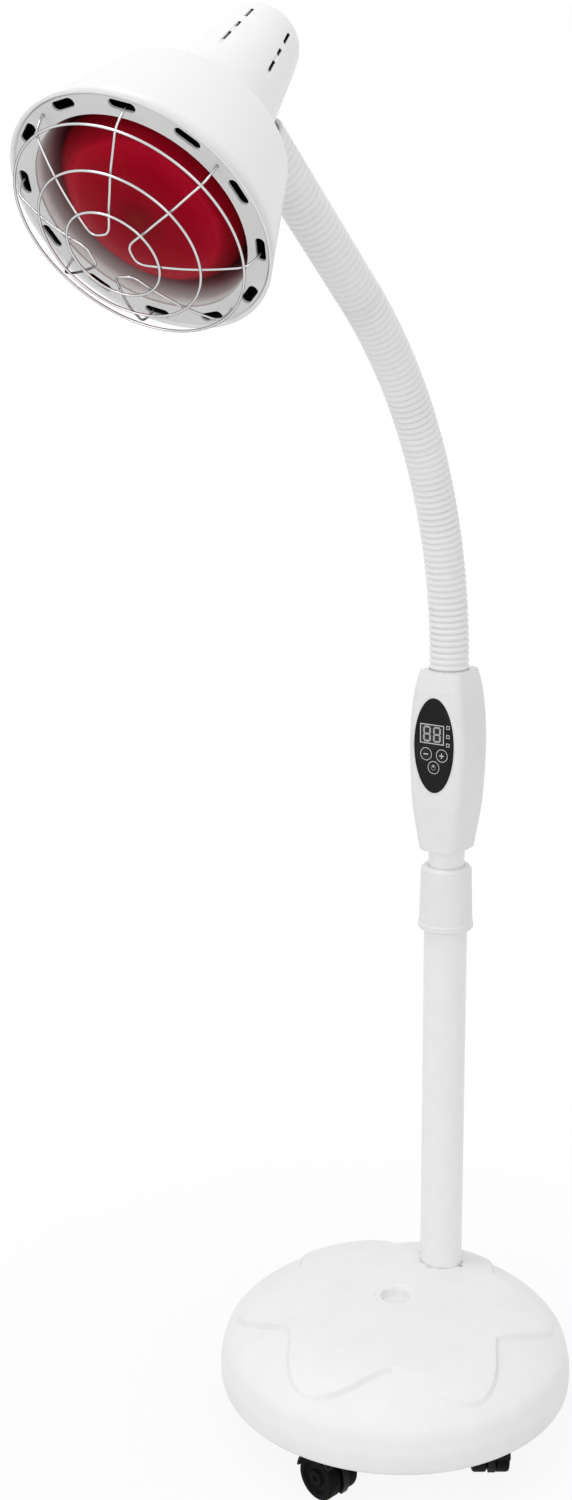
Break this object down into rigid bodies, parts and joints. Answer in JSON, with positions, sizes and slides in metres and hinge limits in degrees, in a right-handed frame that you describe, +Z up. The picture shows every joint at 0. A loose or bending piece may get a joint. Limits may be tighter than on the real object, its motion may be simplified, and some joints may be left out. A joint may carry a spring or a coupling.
{
  "type": "infrared heat lamp on a floor stand",
  "caption": "Infrared heat therapy lamp: a round weighted base on casters, a telescoping pole, a control box and a flexible gooseneck with a caged red reflector bulb in a tilting hood.",
  "frame": {"origin": "centre of the base plate's underside; the floor is 50 mm below it", "axes": "+Z up; the front, where the lamp head reaches and the panel faces, is -Y; X = 0 is the plane of symmetry"},
  "size_m": [0.2944, 0.5114, 1.1033],
  "materials": {
    "white_cover": "satin moulded",
    "steel_plate": "zinc plated",
    "cast_weight": "raw casting",
    "zinc_screw": "zinc plated",
    "black_caster": "satin moulded",
    "black_wheel": "satin moulded",
    "white_pole": "powder coat",
    "white_shell": "satin moulded",
    "white_hose": "satin",
    "white_ferrule": "satin moulded",
    "guide_plastic": "moulded",
    "panel_black": "gloss",
    "display_grey": "gloss",
    "lamp_amber": "gloss",
    "button_black": "gloss",
    "board_green": "solder mask",
    "module_black": "moulded",
    "white_hood": "satin enamel",
    "ring_grey": "satin enamel",
    "reflector_white": "satin enamel",
    "bulb_red": "coated glass",
    "cap_brass": "plated",
    "filament_metal": "wire and glass",
    "ceramic": "glazed ceramic",
    "guard_chrome": "bright"
  },
  "bodies": {
    "base": {"base_cover": "white_cover", "base_plate": "steel_plate", "counterweight": "cast_weight", "base_screws": "zinc_screw", "pole_socket": "steel_plate", "socket_bolts": "zinc_screw", "pole_set_screw": "zinc_screw", "caster_stems": "zinc_screw", "outer_pole": "white_pole"},
    "caster_1_swivel": {"caster_1_hood": "black_caster"},
    "caster_1_roller": {"caster_1_wheels": "black_wheel"},
    "caster_2_swivel": {"caster_2_hood": "black_caster"},
    "caster_2_roller": {"caster_2_wheels": "black_wheel"},
    "caster_3_swivel": {"caster_3_hood": "black_caster"},
    "caster_3_roller": {"caster_3_wheels": "black_wheel"},
    "caster_4_swivel": {"caster_4_hood": "black_caster"},
    "caster_4_roller": {"caster_4_wheels": "black_wheel"},
    "caster_5_swivel": {"caster_5_hood": "black_caster"},
    "caster_5_roller": {"caster_5_wheels": "black_wheel"},
    "collar": {"lock_collar": "white_shell"},
    "bush": {"guide_bush": "guide_plastic"},
    "column": {"inner_pole": "white_pole", "inner_pole_foot": "guide_plastic", "box_front": "white_shell", "box_back": "white_shell", "panel": "panel_black", "display": "display_grey", "indicator_lamps": "lamp_amber", "circuit_board": "board_green", "board_screws": "zinc_screw", "power_module": "module_black", "box_screws": "zinc_screw", "pole_clamp_screw": "zinc_screw", "cord_gland": "module_black", "neck_base": "white_shell"},
    "button_left": {"button_left": "button_black"},
    "button_right": {"button_right": "button_black"},
    "button_lower": {"button_lower": "button_black"},
    "neck_1": {"neck_link_1": "white_hose"},
    "neck_2": {"neck_link_2": "white_hose"},
    "neck_3": {"neck_link_3": "white_hose"},
    "neck_4": {"neck_link_4": "white_hose"},
    "neck_5": {"neck_link_5": "white_hose"},
    "neck_6": {"neck_link_6": "white_hose"},
    "neck_7": {"neck_link_7": "white_hose", "neck_ferrule": "white_ferrule"},
    "head": {"hood": "white_hood", "hood_bracket": "steel_plate", "bracket_screws": "zinc_screw", "tilt_bolt": "zinc_screw", "vent_ring": "ring_grey", "reflector": "reflector_white", "bulb_glass": "bulb_red", "bulb_cap": "cap_brass", "bulb_filament": "filament_metal", "lamp_holder": "ceramic", "holder_strap": "steel_plate", "holder_screws": "zinc_screw", "guard_rings": "guard_chrome", "guard_wires": "guard_chrome"}
  },
  "joints": [
    {"name": "caster_1_turn", "type": "hinge", "parent": "base", "child": "caster_1_swivel", "pos_m": [0, -0.12, 0], "axis": [0, 0, 1], "continuous": true},
    {"name": "caster_1_roll", "type": "hinge", "parent": "caster_1_swivel", "child": "caster_1_roller", "pos_m": [0.01467, -0.12312, -0.0315], "axis": [0.2079, 0.9781, 0], "continuous": true},
    {"name": "caster_2_turn", "type": "hinge", "parent": "base", "child": "caster_2_swivel", "pos_m": [0.11413, -0.03708, 0], "axis": [0, 0, 1], "continuous": true},
    {"name": "caster_2_roll", "type": "hinge", "parent": "caster_2_swivel", "child": "caster_2_roller", "pos_m": [0.10552, -0.0248, -0.0315], "axis": [-0.8192, -0.5736, 0], "continuous": true},
    {"name": "caster_3_turn", "type": "hinge", "parent": "base", "child": "caster_3_swivel", "pos_m": [0.07053, 0.09708, 0], "axis": [0, 0, 1], "continuous": true},
    {"name": "caster_3_roll", "type": "hinge", "parent": "caster_3_swivel", "child": "caster_3_roller", "pos_m": [0.08203, 0.10672, -0.0315], "axis": [-0.6428, 0.766, 0], "continuous": true},
    {"name": "caster_4_turn", "type": "hinge", "parent": "base", "child": "caster_4_swivel", "pos_m": [-0.07053, 0.09708, 0], "axis": [0, 0, 1], "continuous": true},
    {"name": "caster_4_roll", "type": "hinge", "parent": "caster_4_swivel", "child": "caster_4_roller", "pos_m": [-0.08463, 0.10221, -0.0315], "axis": [-0.342, -0.9397, 0], "continuous": true},
    {"name": "caster_5_turn", "type": "hinge", "parent": "base", "child": "caster_5_swivel", "pos_m": [-0.11413, -0.03708, 0], "axis": [0, 0, 1], "continuous": true},
    {"name": "caster_5_roll", "type": "hinge", "parent": "caster_5_swivel", "child": "caster_5_roller", "pos_m": [-0.10003, -0.03195, -0.0315], "axis": [-0.342, 0.9397, 0], "continuous": true},
    {"name": "collar_twist", "type": "hinge", "parent": "base", "child": "collar", "pos_m": [0, 0.077, 0.364], "axis": [0, 0, 1], "range_deg": [0, 90]},
    {"name": "pole_turn", "type": "hinge", "parent": "base", "child": "bush", "pos_m": [0, 0.077, 0.38], "axis": [0, 0, 1], "continuous": true},
    {"name": "pole_slide", "type": "slide", "parent": "bush", "child": "column", "axis": [0, 0, 1], "range_m": [0, 0.28]},
    {"name": "press_left", "type": "slide", "parent": "column", "child": "button_left", "axis": [0, 1, 0], "range_m": [0, 0.0008], "stiffness_N_per_m": 900, "springref_m": -0.0004},
    {"name": "press_right", "type": "slide", "parent": "column", "child": "button_right", "axis": [0, 1, 0], "range_m": [0, 0.0008], "stiffness_N_per_m": 900, "springref_m": -0.0004},
    {"name": "press_lower", "type": "slide", "parent": "column", "child": "button_lower", "axis": [0, 1, 0], "range_m": [0, 0.0008], "stiffness_N_per_m": 900, "springref_m": -0.0004},
    {"name": "neck_bend_1", "type": "hinge", "parent": "column", "child": "neck_1", "pos_m": [0, 0.07666, 0.599], "axis": [1, 0, 0], "range_deg": [-15, 15]},
    {"name": "neck_sway_2", "type": "hinge", "parent": "neck_1", "child": "neck_2", "pos_m": [0, 0.06735, 0.66833], "axis": [0, 0.9747, 0.2234], "range_deg": [-12, 12]},
    {"name": "neck_bend_3", "type": "hinge", "parent": "neck_2", "child": "neck_3", "pos_m": [0, 0.04554, 0.73481], "axis": [1, 0, 0], "range_deg": [-15, 15]},
    {"name": "neck_sway_4", "type": "hinge", "parent": "neck_3", "child": "neck_4", "pos_m": [0, 0.01197, 0.79619], "axis": [0, 0.8298, 0.5581], "range_deg": [-12, 12]},
    {"name": "neck_bend_5", "type": "hinge", "parent": "neck_4", "child": "neck_5", "pos_m": [0, -0.03222, 0.85043], "axis": [1, 0, 0], "range_deg": [-15, 15]},
    {"name": "neck_sway_6", "type": "hinge", "parent": "neck_5", "child": "neck_6", "pos_m": [0, -0.08469, 0.8968], "axis": [0, 0.6526, 0.7577], "range_deg": [-12, 12]},
    {"name": "neck_bend_7", "type": "hinge", "parent": "neck_6", "child": "neck_7", "pos_m": [0, -0.13836, 0.94184], "axis": [1, 0, 0], "range_deg": [-15, 15]},
    {"name": "head_tilt", "type": "hinge", "parent": "neck_7", "child": "head", "pos_m": [0, -0.1736, 0.9714], "axis": [1, 0, 0], "range_deg": [-40, 40]}
  ]
}
